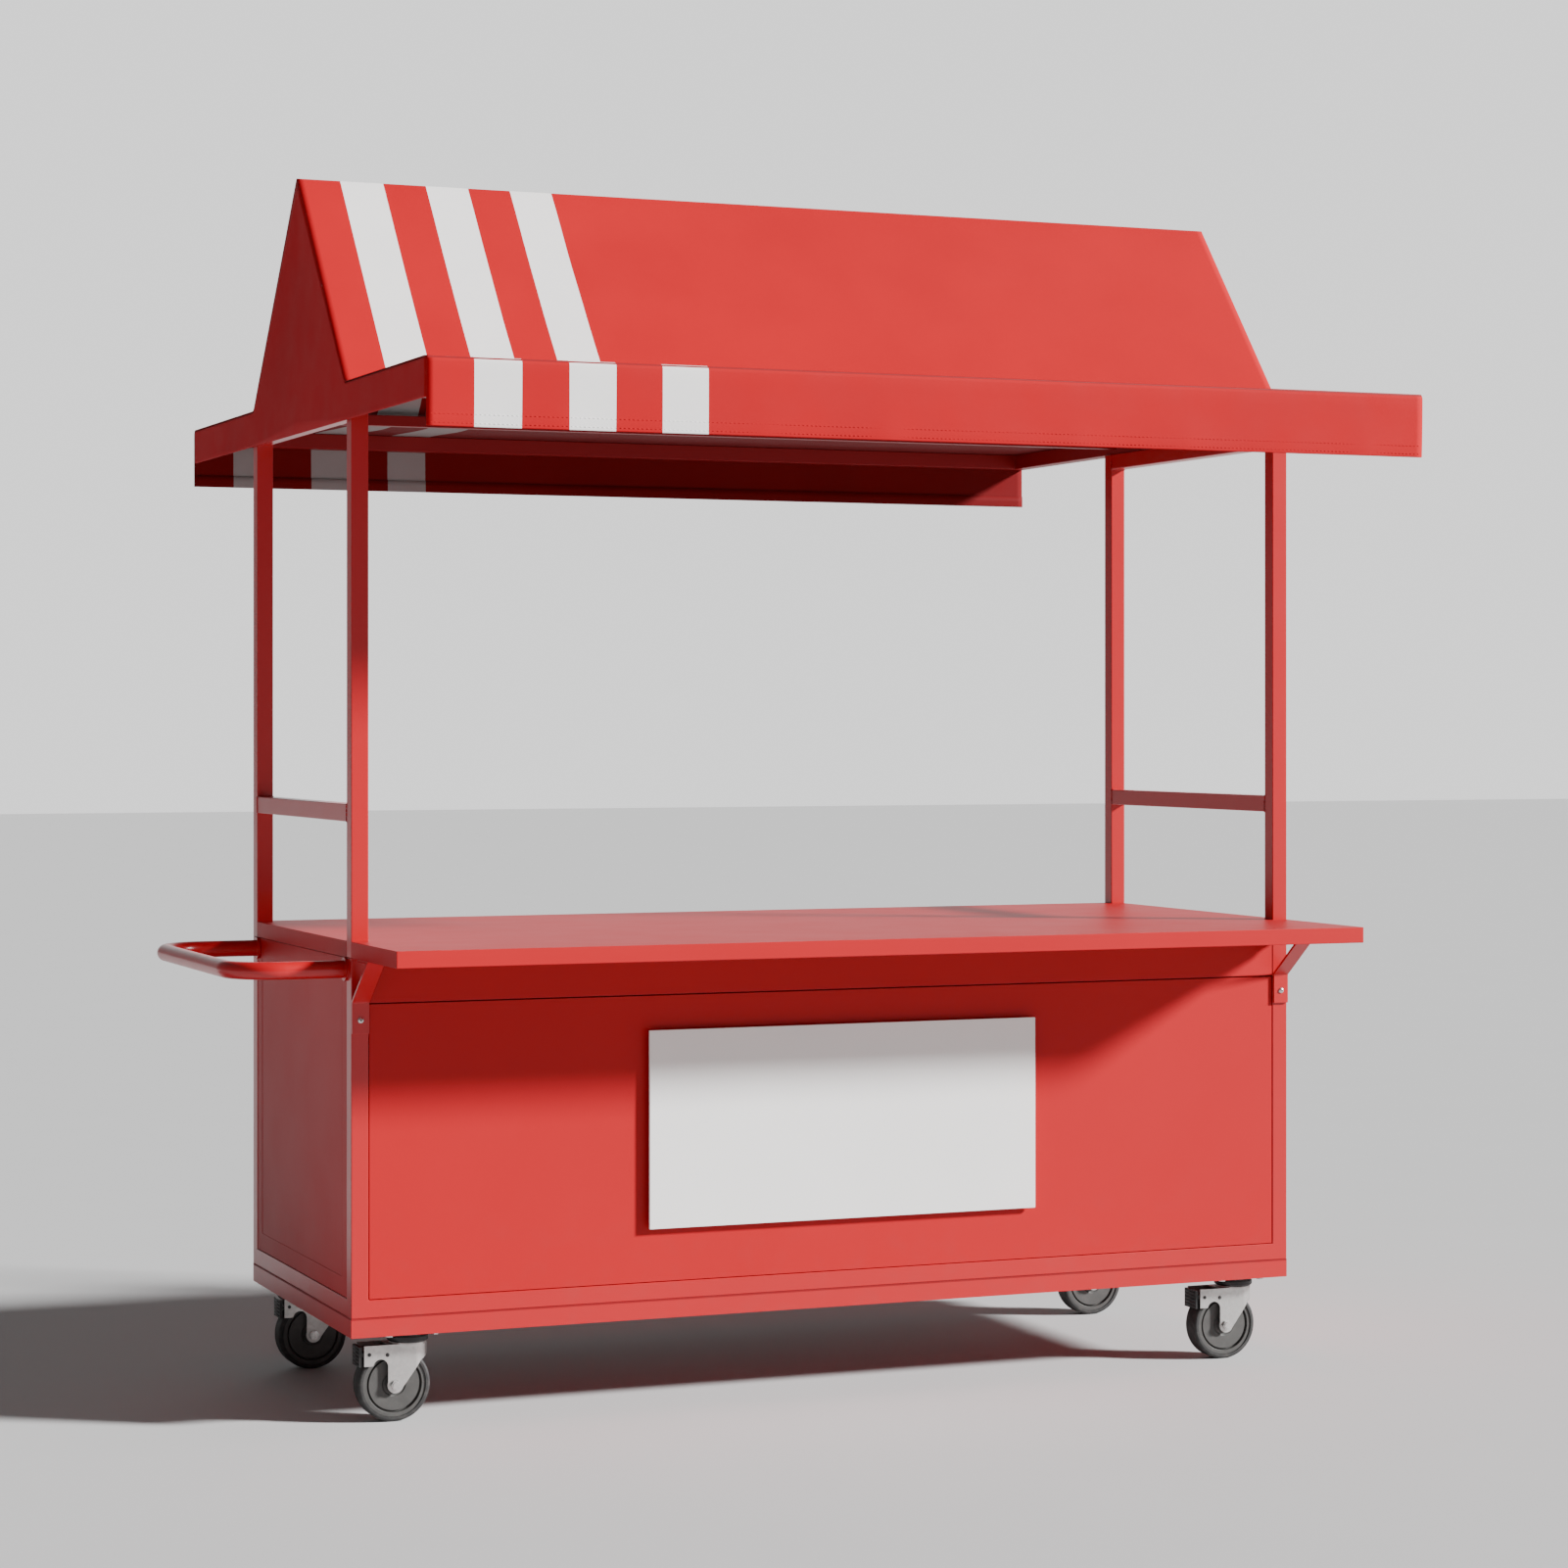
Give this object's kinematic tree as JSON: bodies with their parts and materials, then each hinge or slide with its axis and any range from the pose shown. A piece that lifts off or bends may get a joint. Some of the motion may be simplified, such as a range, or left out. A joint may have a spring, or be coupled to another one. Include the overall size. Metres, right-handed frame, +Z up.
{
  "type": "push vending cart",
  "caption": "Push vending cart with a steel cabinet on braked swivel casters, front serving shelf, rear doors, push handle and striped gable canopy.",
  "frame": {"origin": "on the floor below the middle of the whole cart's box", "axes": "+Z up; -Y is the serving side with the front shelf; -X is the end with the push handle; +Y is the side with the two doors"},
  "size_m": [2.009, 1.598, 2.152],
  "materials": {
    "frame_red": "satin red powder coat",
    "panel_red": "satin red powder coat on folded sheet",
    "inner_sheet": "matt red powder coat",
    "roof_tube_red": "satin red powder coat",
    "canopy_cloth": "coated canvas, red with three white stripes",
    "gable_cloth": "coated canvas, red",
    "sign_white": "matt white",
    "bright_steel": "zinc-plated",
    "zinc_plate": "pressed, zinc-plated",
    "wheel_grey": "moulded nylon",
    "tyre_black": "solid rubber",
    "pedal_black": "moulded nylon",
    "handle_black": "moulded nylon",
    "catch_plastic": "moulded plastic round a magnet"
  },
  "bodies": {
    "cart": {"chassis_frame": "frame_red", "cabinet_frame": "frame_red", "floor_panel": "inner_sheet", "inner_shelf": "inner_sheet", "front_panel": "panel_red", "front_fascia": "panel_red", "left_panel": "panel_red", "right_panel": "panel_red", "worktop": "panel_red", "front_shelf": "panel_red", "shelf_bracket_left": "frame_red", "shelf_bracket_right": "frame_red", "bracket_screws": "bright_steel", "sign_board": "sign_white", "sign_spacers": "bright_steel", "push_handle": "frame_red", "post_front_left": "frame_red", "post_front_right": "frame_red", "post_rear_left": "frame_red", "post_rear_right": "frame_red", "guard_bars": "frame_red", "cross_beams": "frame_red", "eaves_frame": "roof_tube_red", "purlins": "roof_tube_red", "ridge_tube": "roof_tube_red", "rafters": "roof_tube_red", "canopy_cover": "canopy_cloth", "gable_left": "gable_cloth", "gable_right": "gable_cloth", "hinge_lowers": "frame_red", "door_catches": "catch_plastic", "caster_plates": "zinc_plate", "caster_bolts": "bright_steel", "kingpins": "bright_steel"},
    "door_left": {"door_left": "panel_red", "door_handle_left": "handle_black", "hinge_uppers_left": "frame_red"},
    "door_right": {"door_right": "panel_red", "door_handle_right": "handle_black", "hinge_uppers_right": "frame_red"},
    "swivel_front_left": {"fork_front_left": "zinc_plate", "axle_front_left": "bright_steel"},
    "wheel_front_left": {"wheel_front_left": "wheel_grey", "tread_front_left": "tyre_black"},
    "pedal_front_left": {"pedal_front_left": "pedal_black"},
    "swivel_front_right": {"fork_front_right": "zinc_plate", "axle_front_right": "bright_steel"},
    "wheel_front_right": {"wheel_front_right": "wheel_grey", "tread_front_right": "tyre_black"},
    "pedal_front_right": {"pedal_front_right": "pedal_black"},
    "swivel_rear_left": {"fork_rear_left": "zinc_plate", "axle_rear_left": "bright_steel"},
    "wheel_rear_left": {"wheel_rear_left": "wheel_grey", "tread_rear_left": "tyre_black"},
    "pedal_rear_left": {"pedal_rear_left": "pedal_black"},
    "swivel_rear_right": {"fork_rear_right": "zinc_plate", "axle_rear_right": "bright_steel"},
    "wheel_rear_right": {"wheel_rear_right": "wheel_grey", "tread_rear_right": "tyre_black"},
    "pedal_rear_right": {"pedal_rear_right": "pedal_black"}
  },
  "joints": [
    {"name": "door_left_hinge", "type": "hinge", "parent": "cart", "child": "door_left", "pos_m": [-0.77, 0.3473, 0.488], "axis": [0, 0, 1], "range_deg": [0, 110]},
    {"name": "door_right_hinge", "type": "hinge", "parent": "cart", "child": "door_right", "pos_m": [0.967, 0.3473, 0.488], "axis": [0, 0, -1], "range_deg": [0, 110]},
    {"name": "swivel_front_left", "type": "hinge", "parent": "cart", "child": "swivel_front_left", "pos_m": [-0.6835, -0.27, 0.1347], "axis": [0, 0, 1], "continuous": true},
    {"name": "roll_front_left", "type": "hinge", "parent": "swivel_front_left", "child": "wheel_front_left", "pos_m": [-0.7115, -0.27, 0.0635], "axis": [0, 1, 0], "continuous": true},
    {"name": "brake_front_left", "type": "hinge", "parent": "swivel_front_left", "child": "pedal_front_left", "pos_m": [-0.7575, -0.27, 0.1177], "axis": [0, 1, 0], "range_deg": [0, 25]},
    {"name": "swivel_front_right", "type": "hinge", "parent": "cart", "child": "swivel_front_right", "pos_m": [0.9235, -0.27, 0.1347], "axis": [0, 0, 1], "continuous": true},
    {"name": "roll_front_right", "type": "hinge", "parent": "swivel_front_right", "child": "wheel_front_right", "pos_m": [0.8955, -0.27, 0.0635], "axis": [0, 1, 0], "continuous": true},
    {"name": "brake_front_right", "type": "hinge", "parent": "swivel_front_right", "child": "pedal_front_right", "pos_m": [0.8495, -0.27, 0.1177], "axis": [0, 1, 0], "range_deg": [0, 25]},
    {"name": "swivel_rear_left", "type": "hinge", "parent": "cart", "child": "swivel_rear_left", "pos_m": [-0.6835, 0.27, 0.1347], "axis": [0, 0, 1], "continuous": true},
    {"name": "roll_rear_left", "type": "hinge", "parent": "swivel_rear_left", "child": "wheel_rear_left", "pos_m": [-0.7115, 0.27, 0.0635], "axis": [0, 1, 0], "continuous": true},
    {"name": "brake_rear_left", "type": "hinge", "parent": "swivel_rear_left", "child": "pedal_rear_left", "pos_m": [-0.7575, 0.27, 0.1177], "axis": [0, 1, 0], "range_deg": [0, 25]},
    {"name": "swivel_rear_right", "type": "hinge", "parent": "cart", "child": "swivel_rear_right", "pos_m": [0.9235, 0.27, 0.1347], "axis": [0, 0, 1], "continuous": true},
    {"name": "roll_rear_right", "type": "hinge", "parent": "swivel_rear_right", "child": "wheel_rear_right", "pos_m": [0.8955, 0.27, 0.0635], "axis": [0, 1, 0], "continuous": true},
    {"name": "brake_rear_right", "type": "hinge", "parent": "swivel_rear_right", "child": "pedal_rear_right", "pos_m": [0.8495, 0.27, 0.1177], "axis": [0, 1, 0], "range_deg": [0, 25]}
  ]
}
